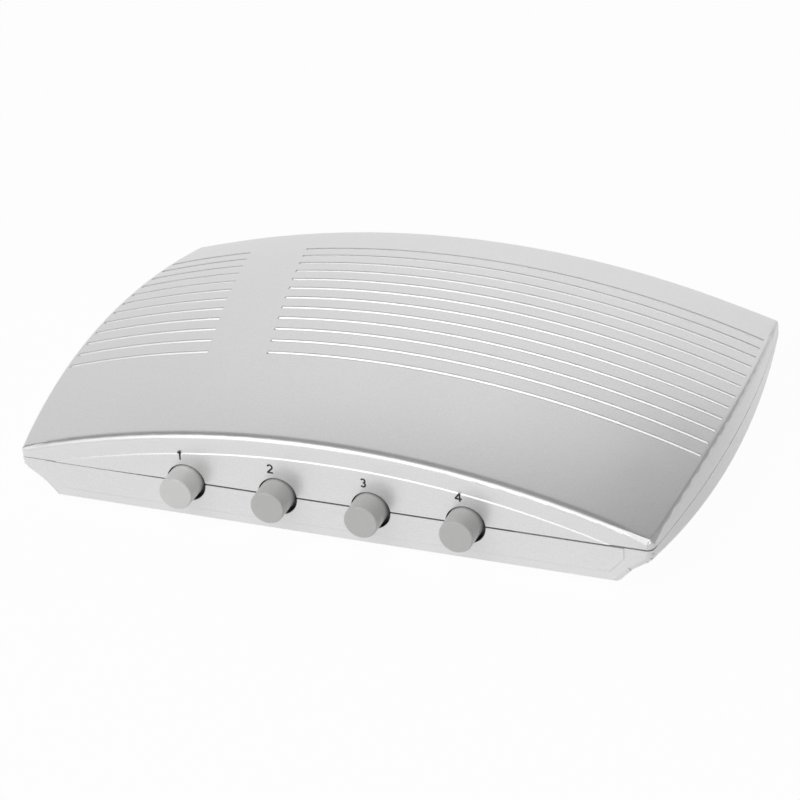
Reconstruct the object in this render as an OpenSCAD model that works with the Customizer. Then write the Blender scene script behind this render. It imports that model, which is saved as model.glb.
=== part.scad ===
// Push-button switch box for digital video cables: a domed two-part plastic case with
// four interlocked push switches along the front and a row of sockets at the rear.
// Sizes are in millimetres. Seen from the front, +X is to the right, +Y to the rear and
// +Z up. The origin lies on the surface that the feet stand on, under the middle of the box.

/* [Case] */
// Width of the case across its front corners, at the seam
front_w = 172; // [164:1:184]
// How far each side bows out past the corners
side_bow = 4.2; // [3:0.1:6]
// Depth of the case from front face to rear face
body_d = 117; // [112:1:126]
// Radius of the domed top
dome_r = 275; // [260:5:310]
// Height of the cover above the seam at its corners
corner_h = 2.4; // [2.2:0.1:4]
// Height of the bottom shell from its underside to the seam
base_h = 10.2; // [9.8:0.1:12]
// Thickness of the case walls
wall = 2; // [1.8:0.1:2.4]
// Gap of the seam between the two shells along the sides and the rear
seam_gap = 0.15; // [0.1:0.05:0.25]
// Gap of the seam along the open part of the front
front_gap = 0.45; // [0.3:0.05:0.6]
// Place across where the front gap has opened to its full width
gap_open_x = -36; // [-45:1:-20]
// Length over which the front gap opens, from left to right
gap_run = 26; // [10:1:40]
// Radius along the upper edges of the cover
edge_r = 1.8; // [1:0.1:1.9]
// Radius of the upright corners of the case
corner_r = 2; // [0.8:0.1:2.4]

/* [Bottom shell outline] */
// Height of the upright band under the seam, at the corners
shoulder_drop = 2.6; // [2.2:0.1:3]
// How much further the upright band reaches down halfway along the sides
shoulder_sag = 4; // [2:0.1:4.4]
// Radius that turns the upright band into the sloping band
shoulder_r = 3.2; // [1:0.1:3.4]
// How far the sloping band runs inwards
slant_run = 5.6; // [4:0.1:7]
// How far the sloping band drops
slant_drop = 3.9; // [3.4:0.1:4.4]
// How far the band above the underside runs inwards
plinth_run = 3.4; // [2:0.1:4.5]
// Radius along the front and rear edges of the underside
under_r = 0.7; // [0.4:0.1:1.4]

/* [Seam lip] */
// Thickness of the lip that locates the cover
lip_t = 0.8; // [0.6:0.1:0.9]
// Height of the lip above the seam
lip_h = 1.2; // [0.8:0.1:1.4]
// Distance of the lip from the inner face of the wall
lip_seat = 0.15; // [0.1:0.05:0.2]
// Clearance between the lip and the cover
lip_gap = 0.2; // [0.1:0.05:0.3]

/* [Front panel] */
// How far the raised front panel stands out
panel_out = 0.3; // [0.2:0.05:0.6]
// How far the panel's bevelled edge runs inwards
panel_edge = 0.3; // [0.2:0.05:0.8]
// Distance of the panel's arched edge from the upper edge of the case
panel_margin = 5; // [3:0.5:7]
// Width of the panel's lower half at the seam
panel_w = 158; // [140:1:160]
// Height of the upright sides of the panel's lower half
panel_upright = 3; // [1:0.1:4]
// Width of the panel's lower edge
panel_foot_w = 150; // [130:1:152]
// Drop of the panel's lower edge below the seam
panel_drop = 7.6; // [6.6:0.1:8]

/* [Top grooves] */
// Number of grooves in each of the two groups
groove_count = 12; // [4:1:12]
// Distance of the first groove behind the front face
groove_first = 35.2; // [30:0.1:38]
// Distance from groove to groove
groove_pitch = 5.84; // [4:0.02:6]
// Width of a groove between its walls
groove_w = 0.6; // [0.4:0.1:1]
// Depth of a groove
groove_deep = 0.7; // [0.6:0.1:1]
// Radius of a groove's two lips
groove_lip_r = 0.45; // [0.2:0.05:0.5]
// Distance of a groove's outer end from the side of the case
groove_edge = 1.6; // [1.5:0.1:3]
// Place of the plain strip between the groups at the first groove
strip_x = -37.9; // [-50:0.1:50]
// Width of the plain strip
strip_w = 17.2; // [8:0.1:24]
// How far the strip leans to the left for each millimetre towards the rear
strip_lean = 0.24; // [0:0.01:0.4]

/* [Buttons] */
// Distance from button to button
button_pitch = 25.4; // [22:0.1:26]
// Place of the middle of the row of buttons
bank_x = -0.7; // [-1:0.1:1]
// Height of the buttons' axes above the seam
bank_lift = 0.3; // [0:0.1:0.4]
// Place of the middle of the row of openings for the caps
hole_x = -0.5; // [-1:0.1:1]
// Diameter of a button cap where it leaves the case
cap_d = 9.3; // [9.1:0.1:9.5]
// Diameter of a cap's face
cap_face_d = 9; // [8.4:0.1:9]
// Diameter of the round opening for a cap
hole_d = 10.7; // [10.6:0.1:11]
// How far a cap stands out of the front face
cap_out = 7; // [5:0.1:7.4]
// Radius of the rim of a cap's face
cap_rim_r = 0.5; // [0.3:0.1:1.4]
// Thickness of a cap's face in front of the plunger
cap_face_t = 2.4; // [1.8:0.1:3]
// Diameter of the collar that keeps a cap in the case
collar_d = 12.4; // [12.2:0.1:13]
// Thickness of the collar
collar_t = 1.5; // [1:0.1:2]
// Clearance between the collar and the front wall
collar_gap = 0.3; // [0.2:0.05:0.5]
// Travel of a button
travel = 4; // [2:0.1:4.4]

/* [Switch bank] */
// Side of the square plunger
plunger_w = 3.6; // [3:0.1:3.8]
// Running clearance around the plunger
plunger_gap = 0.3; // [0.25:0.05:0.4]
// Clearance of the plunger in its cap
cap_fit = 0.05; // [0.03:0.01:0.1]
// How far the plunger reaches into the switch body
plunger_in = 13; // [10:0.5:15]
// How far the latching cam stands out of the plunger
cam_out = 0.8; // [0.5:0.1:0.9]
// Height of the latching cam
cam_h = 2.2; // [1.6:0.1:2.4]
// Length of the latching cam
cam_l = 4; // [3:0.1:4.5]
// Length of the return spring at rest
spring_l = 10; // [9:0.1:12]
// Radius of the return spring to the middle of its wire
spring_r = 3.4; // [3.3:0.05:3.5]
// Wire diameter of the return spring
spring_wire = 0.6; // [0.4:0.05:0.6]
// Number of curls of the return spring
spring_curls = 6; // [4:1:7]
// Thickness of the steel switch frame
frame_t = 1; // [0.8:0.1:1.2]
// How far the frame reaches past the outer plungers
frame_end = 9; // [8:0.5:10]
// Height of the frame above the plunger axis
frame_above = 6; // [5.5:0.1:7]
// Thickness of the latch bar
latch_t = 0.8; // [0.6:0.1:1]
// Height of the latch bar
latch_h = 7; // [6.6:0.1:7.2]
// Travel of the latch bar
latch_travel = 1.2; // [0.8:0.1:1.5]
// Sliding clearance around the latch bar
latch_gap = 0.3; // [0.25:0.05:0.4]
// Length of the latch spring at rest
latch_spring_l = 8; // [7:0.1:10]
// Radius of the latch spring to the middle of its wire
latch_spring_r = 1.8; // [1.7:0.05:2]
// Wire diameter of the latch spring
latch_wire = 0.4; // [0.3:0.05:0.5]
// Number of curls of the latch spring
latch_curls = 7; // [5:1:8]
// Height of the latch bar's guide tongue
tongue_h = 2.2; // [1.8:0.1:2.4]
// Width of a switch body
switch_w = 10; // [8.5:0.1:12]
// Length of a switch body
switch_l = 24; // [22:0.5:28]
// Height of the plunger axis above the circuit board
axis_h = 4.4; // [4.3:0.05:4.7]
// Distance from pin to pin under a switch body
pin_pitch = 4; // [3:0.1:5]
// Distance between the two rows of switch pins
pin_rows = 5; // [4:0.1:6]
// Side of a switch pin
pin_w = 0.7; // [0.5:0.1:0.9]
// Length of the frame's solder tabs along the plate
tab_w = 2; // [1.5:0.1:2.5]

/* [Circuit board] */
// Width of the circuit board
board_w = 132; // [126:1:134]
// Thickness of the circuit board
board_t = 1.6; // [1.2:0.1:2]
// How far the board reaches in front of the switch frame
board_lead = 2; // [1:0.1:3]
// Distance of the board's rear edge from the rear face
board_rear_gap = 4; // [3.2:0.1:6]
// Length of a solder pin under the board's upper face
pin_drop = 2.8; // [2:0.1:3]
// Clearance around pins and legs in the board
pin_gap = 0.2; // [0.1:0.05:0.3]

/* [Sockets] */
// Distance from socket to socket
socket_pitch = 24; // [22:0.5:25]
// Outer width of a socket's metal shell
socket_w = 14.8; // [14.6:0.1:15.2]
// Outer height of a socket's metal shell
socket_h = 5.4; // [5.3:0.1:5.8]
// Outer width of a socket's lower side
socket_foot_w = 11.2; // [10.5:0.1:12]
// Height at which a socket's sides start to slope in
socket_slope_h = 2.2; // [1.6:0.1:2.6]
// Depth of a socket
socket_d = 11.5; // [11:0.1:13]
// Thickness of the socket's sheet metal
socket_t = 0.4; // [0.3:0.05:0.5]
// How far the sockets stay behind the rear face
socket_back = 0.2; // [0:0.05:0.5]
// Clearance around a socket in the rear wall
socket_gap = 0.3; // [0.2:0.05:0.5]
// Width of the contact tongue
contact_tongue_w = 11; // [10.8:0.1:11.4]
// Thickness of the contact tongue
contact_tongue_t = 1.6; // [1.2:0.1:1.8]
// How far the tongue stays behind the socket's mouth
tongue_back = 1.2; // [0.8:0.1:2]
// Length of the block that holds the tongue
block_l = 3; // [2:0.1:4]
// Clearance of that block in the metal shell
block_fit = 0.05; // [0.03:0.01:0.1]
// Width of a socket's solder legs
leg_w = 1; // [0.8:0.1:1.2]
// Number of contacts on the upper face of a tongue, one more than on its lower face
upper_contacts = 10; // [6:1:10]
// Distance from contact to contact
contact_pitch = 1; // [0.9:0.05:1]
// Width of a contact
contact_w = 0.45; // [0.3:0.05:0.5]
// Thickness of a contact
contact_t = 0.12; // [0.1:0.01:0.2]
// Length of a contact
contact_l = 5; // [4:0.1:6]

/* [Screws] */
// Distance of the case screws from the middle of the case
post_x = 71.5; // [71:0.1:72]
// Distance of the case screws from the front and rear faces
post_inset = 24; // [20:0.5:30]
// Radius of the screw posts
post_r = 3.6; // [3.4:0.1:3.8]
// Depth of the post joint below the seam
post_drop = 1; // [0.6:0.1:1.4]
// Diameter of a case screw
screw_d = 2.9; // [2.5:0.1:3]
// Length of a case screw under its head
screw_l = 13; // [11:0.5:13.5]
// Diameter of a case screw's head
screw_head_d = 5.6; // [5:0.1:5.8]
// Height of a case screw's head
screw_head_h = 2.2; // [1.8:0.1:2.4]
// Depth of a case screw's head below the underside
screw_sink = 0.8; // [0.4:0.1:1]
// Clearance around a screw in its hole
screw_gap = 0.1; // [0.05:0.05:0.2]
// Distance of the board screws from the middle of the case
stand_x = 60; // [59:0.1:61]
// Distance of the board screws from the board's front edge
stand_front = 8; // [6:0.5:10]
// Distance of the board screws from the board's rear edge
stand_rear = 18; // [16:0.5:22]
// Radius of the board posts
stand_r = 3; // [2.6:0.1:3.4]
// Diameter of a board screw
board_screw_d = 2.2; // [2:0.1:2.5]
// Length of a board screw under its head
board_screw_l = 4.6; // [4:0.1:5]
// Diameter of a board screw's head
board_head_d = 4.4; // [4:0.1:5]
// Height of a board screw's head
board_head_h = 1.6; // [1.2:0.1:2]

/* [Feet] */
// Diameter of a foot
foot_d = 11; // [9:0.5:13]
// How far a foot stands out of the underside
foot_out = 1.6; // [1.2:0.1:2.4]
// Depth of the recess that a foot is stuck into
foot_seat = 0.6; // [0.4:0.1:0.8]
// Radius of a foot's lower edge
foot_edge_r = 0.6; // [0.3:0.1:0.8]
// Distance of the feet from the middle of the case
foot_x = 56; // [50:0.5:60]
// Distance of the feet from the front and rear faces
foot_inset = 14; // [10:0.5:18]
// Clearance around a foot in its recess
foot_gap = 0.15; // [0.1:0.05:0.3]

/* [Hidden] */
$fn = 48;
// Facets of the very large arcs
arc_fn = 256;
// A cut runs this far past the face that it opens
over = 1;
// A rounding arc stands this far past the faces that it joins
poke = 0.02;
// Depth of stock kept under the dome, and reach of a cut past the case
keep = 60;

// Levels
floor_z = foot_out;
seam_z = floor_z + base_h;
cover_z = seam_z + seam_gap;
axis_z = seam_z + bank_lift;
board_top = axis_z - axis_h;
board_z = board_top - board_t;
post_z = seam_z - post_drop;
head_z = floor_z + screw_sink + screw_head_h;
screw_tip_z = head_z + screw_l;
board_tip_z = board_top - board_screw_l;

// Places along the depth, centred with the caps standing out
front_y = (cap_out - body_d) / 2;
rear_y = front_y + body_d;
mid_y = front_y + body_d / 2;
face_y = front_y - cap_out;
collar_y = front_y + wall + collar_gap;
cap_rear_y = collar_y + collar_t;
frame_y = cap_rear_y + spring_l;
latch_y = frame_y + frame_t + latch_gap;
switch_y = latch_y + latch_t + latch_gap;
board_y = frame_y - board_lead;
board_rear_y = rear_y - board_rear_gap;
mouth_y = rear_y - socket_back;

// Arcs of the plan and of the dome
half_d = body_d / 2;
half_w = front_w / 2;
side_half = half_w + side_bow;
side_r = (half_d * half_d + side_bow * side_bow) / (2 * side_bow);
side_cx = side_r - side_half;
side_turn = asin(half_d / side_r);
front_arch_r = sqrt(dome_r * dome_r - half_d * half_d);
front_turn = asin(half_d / dome_r);
corner_top = sqrt(front_arch_r * front_arch_r - half_w * half_w);
side_top = sqrt(dome_r * dome_r - side_half * side_half);
side_slope = asin(side_half / dome_r);
dome_z = seam_z + corner_h - corner_top;
dome_sweep = asin((side_half + keep / 4) / (dome_r - keep / 2));
edge_tilt = atan2(side_top - corner_top, side_half - half_w);
edge_sweep = asin((half_d + keep / 8) / (dome_r - keep / 2));

// Bands of the bottom shell's sides
slant_angle = atan2(slant_drop, slant_run);
plinth_drop = base_h - shoulder_drop - slant_drop;
shoulder_turn = 90 - slant_angle;
shoulder_reach = shoulder_r * tan(shoulder_turn / 2);
inner_bend = wall * tan(shoulder_turn / 2);

// Outline of a side from above the seam to below the underside, measured from the end of its upright band
side_line = [[0, shoulder_drop + over], [0, shoulder_reach],
    [shoulder_r * (cos(shoulder_turn / 2) - 1), shoulder_reach - shoulder_r * sin(shoulder_turn / 2)],
    [-shoulder_reach * cos(slant_angle), -shoulder_reach * sin(slant_angle)],
    [-slant_run, -slant_drop], [-slant_run - 2 * plinth_run, -slant_drop - 2 * plinth_drop]];
side_low = slant_drop + 4 * plinth_drop;

// Arc that the outline of a side is swept along: it leans, so that the upright band is deepest halfway
sweep_bow = norm([side_bow, shoulder_sag]);
sweep_lean = atan2(shoulder_sag, side_bow);
sweep_r = (half_d * half_d + sweep_bow * sweep_bow) / (2 * sweep_bow);
sweep_turn = asin(half_d / sweep_r);
sweep_span = 1.5 * sweep_turn;
sweep_x = side_half - sweep_r * cos(sweep_lean);
sweep_z = seam_z - shoulder_drop - shoulder_sag + sweep_r * sin(sweep_lean);

// Groups of places
button_count = 4;
socket_count = 5;
bank_xs = [for (i = [0:button_count - 1]) (i - (button_count - 1) / 2) * button_pitch];
button_xs = [for (x = bank_xs) bank_x + x];
hole_xs = [for (x = bank_xs) hole_x + x];
socket_xs = [for (i = [0:socket_count - 1]) (i - (socket_count - 1) / 2) * socket_pitch];
post_places = [for (x = [-post_x, post_x], y = [front_y + post_inset, rear_y - post_inset]) [x, y]];
stand_places = [for (x = [-stand_x, stand_x], y = [board_y + stand_front, board_rear_y - stand_rear]) [x, y]];
foot_places = [for (x = [-foot_x, foot_x], y = [front_y + foot_inset, rear_y - foot_inset]) [x, y]];

// Switch frame and latch bar, measured from the middle of the row of buttons
frame_half = bank_xs[button_count - 1] + frame_end;
ear_x = frame_half + latch_spring_l + over;
tab_xs = [tab_w / 2 - frame_half, 0, frame_half - tab_w / 2];
pin_places = [for (x = button_xs, row = [-0.5, 0.5], k = [-1, 0, 1])
    [x + row * pin_rows, switch_y + switch_l / 2 + k * pin_pitch]];
window_h = plunger_w + 2 * plunger_gap;
shoulder_x = ear_x - latch_spring_l;
ear_d = 2 * latch_gap + latch_t + frame_t;

// Sockets
socket_slope = atan2((socket_w - socket_foot_w) / 2, socket_slope_h);
tongue_z = board_top + socket_h / 2 + socket_t / 2;
leg_places = [for (x = socket_xs, side = [-1, 1], y = [mouth_y - socket_d + leg_w, board_rear_y - 2 * leg_w])
    [x + side * (socket_foot_w / 2 - leg_w), y]];

// Sides and rings of a coil's wire
wire_sides = 6;
curl_rings = 8;

function heading(a) = [cos(a), sin(a)];

// Half width of the case at a depth
function side_x(y) = sqrt(side_r * side_r - (y - mid_y) * (y - mid_y)) - side_cx;

// Where the sweep takes a point of a side's outline at the front face, across and up
function front_point(p) =
    let (out = sweep_r + p[0] * cos(sweep_lean) - p[1] * sin(sweep_lean),
        along = p[0] * sin(sweep_lean) + p[1] * cos(sweep_lean),
        reach = sqrt(out * out - half_d * half_d))
    [sweep_x + reach * cos(sweep_lean) + along * sin(sweep_lean),
        sweep_z - reach * sin(sweep_lean) + along * cos(sweep_lean)];

// What comes off a corner of an outline, with edges at two headings, to leave a radius
module round_corner(corner, heading_a, heading_b, r) {
    inside = r - poke;
    half = abs(heading_b - heading_a) / 2;
    centre = corner + inside / sin(half) * heading((heading_a + heading_b) / 2);
    foot_a = corner + inside / tan(half) * heading(heading_a);
    foot_b = corner + inside / tan(half) * heading(heading_b);
    difference() {
        polygon([centre, 2 * foot_a - centre, 2 * corner - centre, 2 * foot_b - centre]);
        translate(centre) circle(r);
    }
}

// Plan of the case at the seam, drawn in all round
module plan(inset) {
    intersection() {
        translate([-side_cx, mid_y]) circle(side_r - inset, $fn = arc_fn);
        translate([side_cx, mid_y]) circle(side_r - inset, $fn = arc_fn);
        translate([-side_half - over, front_y + inset]) square([2 * (side_half + over), body_d - 2 * inset]);
    }
}

// Plan of the case with its upright corners rounded
module rounded_plan() {
    difference() {
        plan(0);
        translate([0, mid_y])
            for (mx = [0, 1], my = [0, 1])
                mirror([mx, 0]) mirror([0, my])
                    round_corner([half_w, half_d], 180, 270 + side_turn, corner_r);
    }
}

// Stock under the dome, turned about an axis along the depth
module dome(inset, rounded) {
    translate([0, mid_y, dome_z])
        rotate([90, 0, 0])
            rotate([0, 0, 90 - dome_sweep])
                rotate_extrude(angle = 2 * dome_sweep, $fn = arc_fn)
                    difference() {
                        intersection() {
                            circle(dome_r - inset, $fn = arc_fn);
                            translate([dome_r - keep, inset - half_d]) square([keep + over, body_d - 2 * inset]);
                        }
                        if (rounded)
                            for (m = [0, 1])
                                mirror([0, m])
                                    round_corner([front_arch_r, half_d], 180, 270 + front_turn, edge_r);
                    }
}

// What comes off the right upper edge: its ball runs on a circle tilted about the dome's centre
module side_edge() {
    translate([0, mid_y, dome_z])
        rotate([0, -edge_tilt, 0])
            rotate([0, 0, -edge_sweep])
                rotate_extrude(angle = 2 * edge_sweep, $fn = arc_fn)
                    rotate(-edge_tilt)
                        round_corner([side_half, side_top], 180 - side_slope, 270, edge_r);
}

module cover_outer() {
    difference() {
        intersection() {
            dome(0, true);
            translate([0, 0, cover_z]) linear_extrude(keep) rounded_plan();
        }
        side_edge();
        mirror([1, 0, 0]) side_edge();
    }
}

module cover_inner() {
    intersection() {
        dome(wall, false);
        translate([0, 0, cover_z - over]) linear_extrude(keep) plan(wall);
    }
}

// Section of a groove with soft lips, square to the dome and measured from its surface
module groove_section() {
    translate([-groove_deep, -groove_w / 2]) square([groove_deep + over, groove_w]);
    for (m = [0, 1])
        mirror([0, m]) round_corner([0, groove_w / 2], 180, 90, groove_lip_r);
}

// One groove across the dome at a depth, from one place across to another
module groove(y, x_low, x_high) {
    r = sqrt(dome_r * dome_r - (y - mid_y) * (y - mid_y));
    from = acos(x_high / r);
    to = acos(x_low / r);
    translate([0, mid_y, dome_z])
        rotate([90, 0, 0])
            rotate([0, 0, from])
                rotate_extrude(angle = to - from, $fn = arc_fn)
                    rotate(asin((mid_y - y) / dome_r)) translate([dome_r, 0]) groove_section();
}

// The grooves to the left or to the right of the plain strip
module grooves(side) {
    for (i = [0:groove_count - 1]) {
        y = front_y + groove_first + i * groove_pitch;
        inner = strip_x - strip_lean * i * groove_pitch + side * strip_w / 2;
        outer = side * (side_x(y) - groove_edge);
        groove(y, min(inner, outer), max(inner, outer));
    }
}

// Upper half of the raised front panel, a bevelled arch that follows the upper edge
module panel_upper() {
    arch_r = front_arch_r - panel_margin;
    intersection() {
        translate([0, front_y, dome_z])
            rotate([90, 0, 0])
                rotate_extrude($fn = arc_fn)
                    polygon([[0, -over], [arch_r + over * panel_edge / panel_out, -over],
                        [arch_r - panel_edge, panel_out], [0, panel_out]]);
        translate([-half_w, front_y - wall, cover_z]) cube([front_w, 2 * wall, keep]);
    }
}

// What comes off the face of the panel along one edge of its outline
module panel_bevel(from, to) {
    run = to - from;
    translate(from)
        rotate(atan2(run[1], run[0]))
            translate([-over, 0, 0])
                rotate([90, 0, 90])
                    linear_extrude(norm(run) + 2 * over)
                        polygon([[-over, 0], [0, 0], [panel_edge, panel_out],
                            [panel_edge, panel_out + over], [-over, panel_out + over]]);
}

// Lower half of the raised front panel
module panel_lower() {
    outline = [[-panel_w / 2, 0], [-panel_w / 2, -panel_upright], [-panel_foot_w / 2, -panel_drop],
        [panel_foot_w / 2, -panel_drop], [panel_w / 2, -panel_upright], [panel_w / 2, 0]];
    translate([0, front_y, seam_z])
        rotate([90, 0, 0])
            difference() {
                translate([0, 0, -over]) linear_extrude(over + panel_out) polygon(outline);
                for (k = [0:len(outline) - 2]) panel_bevel(outline[k], outline[k + 1]);
            }
}

// Round openings for the caps, half in each shell
module cap_holes() {
    for (x = hole_xs)
        translate([x, front_y + wall + over, seam_z])
            rotate([90, 0, 0])
                cylinder(d = hole_d, h = wall + panel_out + 2 * over);
}

// What comes off the lower edge of the cover's front wall: the gap opens from left to right and
// ends behind the right corner
module front_opening() {
    slope = (front_gap - seam_gap) / gap_run;
    translate([0, front_y + wall + over, seam_z])
        rotate([90, 0, 0])
            linear_extrude(2 * wall + over)
                polygon([[gap_open_x, front_gap], [side_half, front_gap], [side_half, -over],
                    [gap_open_x - (front_gap + over) / slope, -over]]);
}

// Outline of a socket seen from the rear, drawn in all round
module socket_outline(inset) {
    bend = inset * tan(socket_slope / 2);
    toe = inset * tan((90 - socket_slope) / 2);
    half = socket_w / 2 - inset;
    foot = socket_foot_w / 2 - toe;
    polygon([[-half, socket_h - inset], [-half, socket_slope_h + bend], [-foot, inset],
        [foot, inset], [half, socket_slope_h + bend], [half, socket_h - inset]]);
}

// A length of the socket's outline, from one depth to another
module socket_stock(x, inset, from, to) {
    translate([x, to, board_top])
        rotate([90, 0, 0])
            linear_extrude(to - from) socket_outline(inset);
}

module socket_holes() {
    for (x = socket_xs)
        socket_stock(x, -socket_gap, rear_y - wall - over, rear_y + over);
}

// Cover with everything but its grooves
module plain_cover() {
    difference() {
        union() {
            difference() {
                cover_outer();
                cover_inner();
            }
            intersection() {
                cover_outer();
                for (p = post_places)
                    translate([p[0], p[1], cover_z]) cylinder(r = post_r, h = keep);
            }
            for (p = post_places)
                translate([p[0], p[1], post_z]) cylinder(r = post_r, h = seam_gap + post_drop + over);
            panel_upper();
        }
        translate([0, 0, cover_z - over])
            linear_extrude(over + lip_h + lip_gap - seam_gap)
                difference() {
                    plan(wall - lip_seat - lip_t - lip_gap);
                    plan(wall + lip_gap);
                }
        for (p = post_places)
            translate([p[0], p[1], post_z - over])
                cylinder(d = screw_d + 2 * screw_gap, h = screw_tip_z + screw_gap - post_z + over);
        front_opening();
        cap_holes();
        socket_holes();
    }
}

module top_cover() {
    color("silver")
        difference() {
            difference() {
                plain_cover();
                grooves(-1);
            }
            grooves(1);
        }
}

// What lies outside the right side, drawn in by the wall or not at all, swept along its leaning arc
module side_cut(inset) {
    translate([sweep_x, mid_y, sweep_z])
        rotate([0, sweep_lean, 0])
            rotate([0, 0, -sweep_span])
                rotate_extrude(angle = 2 * sweep_span, $fn = arc_fn)
                    translate([sweep_r, 0])
                        rotate(sweep_lean) {
                            if (inset > 0)
                                polygon([[-inset, keep / 2], [-inset, inner_bend],
                                    [-inset - (inner_bend + side_low) * slant_run / slant_drop, -side_low],
                                    [keep / 2, -side_low], [keep / 2, keep / 2]]);
                            else {
                                polygon([[0, keep / 2], [0, 0], [-slant_run, -slant_drop],
                                    [-slant_run - 4 * plinth_run, -side_low],
                                    [keep / 2, -side_low], [keep / 2, keep / 2]]);
                                round_corner([0, 0], 90, 180 + slant_angle, shoulder_r);
                            }
                        }
}

// What comes off the right front corner of the bottom shell, one stretch for each band
module shell_corner() {
    for (k = [0:len(side_line) - 2]) {
        lower = front_point(side_line[k + 1]);
        run = front_point(side_line[k]) - lower;
        slope = atan2(run[1], run[0]);
        translate([lower[0], -half_d, lower[1]])
            rotate([0, -slope, 0])
                rotate([90, 0, 90])
                    linear_extrude(norm(run))
                        round_corner([0, 0], 90, -atan(tan(sweep_turn) * sin(slope + sweep_lean)), corner_r);
    }
}

module front_corners() {
    shell_corner();
    mirror([1, 0, 0]) shell_corner();
}

module shell_sides() {
    difference() {
        translate([-side_half - over, 0, 0])
            rotate([90, 0, 90])
                linear_extrude(2 * (side_half + over))
                    difference() {
                        translate([front_y, floor_z]) square([body_d, base_h]);
                        round_corner([front_y, floor_z], 90, 0, under_r);
                        round_corner([rear_y, floor_z], 90, 180, under_r);
                    }
        side_cut(0);
        mirror([1, 0, 0]) side_cut(0);
    }
}

module shell_outer() {
    difference() {
        difference() {
            shell_sides();
            translate([0, mid_y, 0]) front_corners();
        }
        translate([0, mid_y, 0]) mirror([0, 1, 0]) front_corners();
    }
}

module shell_inner() {
    difference() {
        translate([-side_half, front_y + wall, floor_z + wall])
            cube([2 * side_half, body_d - 2 * wall, base_h - wall + over]);
        side_cut(wall);
        mirror([1, 0, 0]) side_cut(wall);
    }
}

module bottom_shell() {
    color("silver")
        difference() {
            union() {
                difference() {
                    shell_outer();
                    shell_inner();
                }
                for (p = post_places)
                    translate([p[0], p[1], floor_z + wall / 2]) cylinder(r = post_r, h = post_z - floor_z - wall / 2);
                for (p = stand_places)
                    translate([p[0], p[1], floor_z + wall / 2]) cylinder(r = stand_r, h = board_z - floor_z - wall / 2);
                translate([0, 0, seam_z - over])
                    linear_extrude(over + lip_h)
                        difference() {
                            plan(wall - lip_seat - lip_t);
                            plan(wall - lip_seat);
                        }
                panel_lower();
            }
            for (p = post_places) {
                translate([p[0], p[1], floor_z - over]) cylinder(d = screw_head_d + 4 * screw_gap, h = head_z - floor_z + over);
                translate([p[0], p[1], floor_z]) cylinder(d = screw_d + 2 * screw_gap, h = base_h);
            }
            for (p = stand_places)
                translate([p[0], p[1], board_tip_z - screw_gap])
                    cylinder(d = board_screw_d + 2 * screw_gap, h = base_h);
            for (p = foot_places)
                translate([p[0], p[1], floor_z - over]) cylinder(d = foot_d + 2 * foot_gap, h = over + foot_seat);
            cap_holes();
            socket_holes();
        }
}

// A button cap: a tapered round head with a soft rim, and the collar that keeps it in the case
module button_cap(i) {
    cap_r = cap_d / 2;
    face_r = cap_face_d / 2;
    cap_l = cap_rear_y - face_y;
    color("lightgray")
        translate([button_xs[i], face_y, axis_z])
            difference() {
                rotate([-90, 0, 0])
                    rotate_extrude()
                        difference() {
                            union() {
                                polygon([[0, 0], [face_r, 0], [cap_r, cap_out], [cap_r, cap_l], [0, cap_l]]);
                                translate([0, cap_l - collar_t]) square([collar_d / 2, collar_t]);
                            }
                            round_corner([face_r, 0], atan2(cap_out, cap_r - face_r), 180, cap_rim_r);
                        }
                translate([-plunger_w / 2 - cap_fit, cap_face_t, -plunger_w / 2 - cap_fit])
                    cube([plunger_w + 2 * cap_fit, cap_l, plunger_w + 2 * cap_fit]);
            }
}

// Section of a plunger with its cam, grown all round
module plunger_section(gap) {
    square(plunger_w + 2 * gap, center = true);
    translate([0, -cam_h / 2 - gap]) square([plunger_w / 2 + cam_out + gap, cam_h + 2 * gap]);
}

module plunger(i) {
    start = face_y + cap_face_t;
    color("dimgray")
        translate([button_xs[i], 0, axis_z]) {
            translate([-plunger_w / 2, start, -plunger_w / 2])
                cube([plunger_w, switch_y + plunger_in - start, plunger_w]);
            translate([plunger_w / 2, latch_y - latch_gap, -cam_h / 2])
                linear_extrude(cam_h)
                    polygon([[-plunger_w / 4, 0], [0, 0], [cam_out, -cam_l / 4], [cam_out, -cam_l * 3 / 4],
                        [0, -cam_l], [-plunger_w / 4, -cam_l]]);
        }
}

// Middle line of a coil along +Z, from height zero
function coil_line(r, length, curls) = [for (k = [0:curls * curl_rings])
    let (turn = 360 * k / curl_rings)
    [r * cos(turn), r * sin(turn), length * k / (curls * curl_rings)]];

// Ring of wire round one point of a coil, square to the coil's run
function wire_ring(k, r, length, curls, wire) =
    let (turn = 360 * k / curl_rings,
        climb = atan2(length / curls, 2 * PI * r),
        middle = [r * cos(turn), r * sin(turn), length * k / (curls * curl_rings)],
        outward = [cos(turn), sin(turn), 0],
        upward = [sin(turn) * sin(climb), -cos(turn) * sin(climb), cos(climb)])
    [for (s = [0:wire_sides - 1])
        middle + wire / 2 * (cos(360 * s / wire_sides) * outward + sin(360 * s / wire_sides) * upward)];

// Least gap between one curl and the next, measured on the points of the middle line
function coil_gap(line, wire) =
    min([for (a = [0:len(line) - 1], b = [0:len(line) - 1]) if (b - a > curl_rings / 2) norm(line[b] - line[a])]) - wire;

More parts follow.
